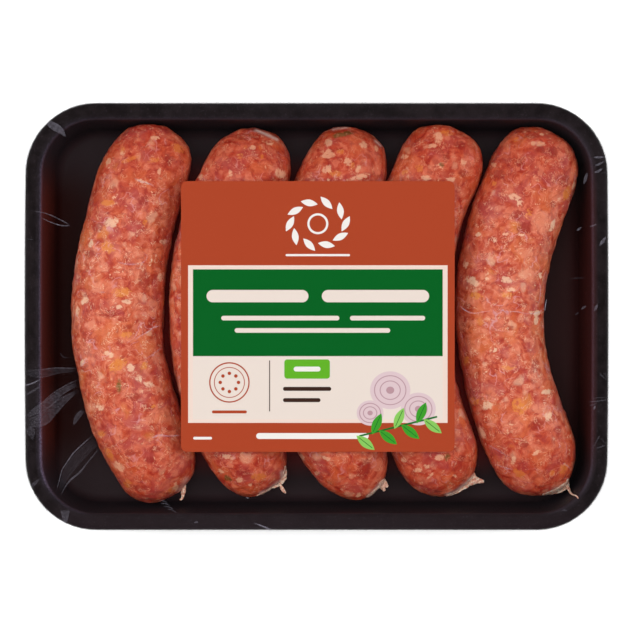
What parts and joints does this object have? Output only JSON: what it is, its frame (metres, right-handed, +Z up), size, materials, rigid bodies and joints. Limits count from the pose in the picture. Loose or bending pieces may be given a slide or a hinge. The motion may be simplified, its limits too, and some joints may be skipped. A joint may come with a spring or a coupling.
{
  "type": "tray pack of fresh sausages",
  "caption": "Shallow foam tray of raw sausage links lying side by side under stretched clear film, with a square label stuck on top and the film folded under the base.",
  "frame": {"origin": "centre of the pack's footprint, on the surface that it stands on", "axes": "+X along the tray's longer side, +Y along the sausages, +Z up through the label"},
  "size_m": [0.22, 0.161, 0.0355],
  "materials": {
    "tray_foam": "black pressed foam with a soft sheen",
    "sausage_meat": "moist coarse-ground raw meat in a thin natural casing, orange-red with pale fat flecks",
    "clear_film": "thin clear stretch film, glossy",
    "label_paper": "coated paper, printed in plain fields of rust, cream and green"
  },
  "bodies": {
    "root": {"tray": "tray_foam", "sausage_1": "sausage_meat", "sausage_2": "sausage_meat", "sausage_3": "sausage_meat", "sausage_4": "sausage_meat", "sausage_5": "sausage_meat", "film": "clear_film", "label": "label_paper"}
  },
  "joints": []
}
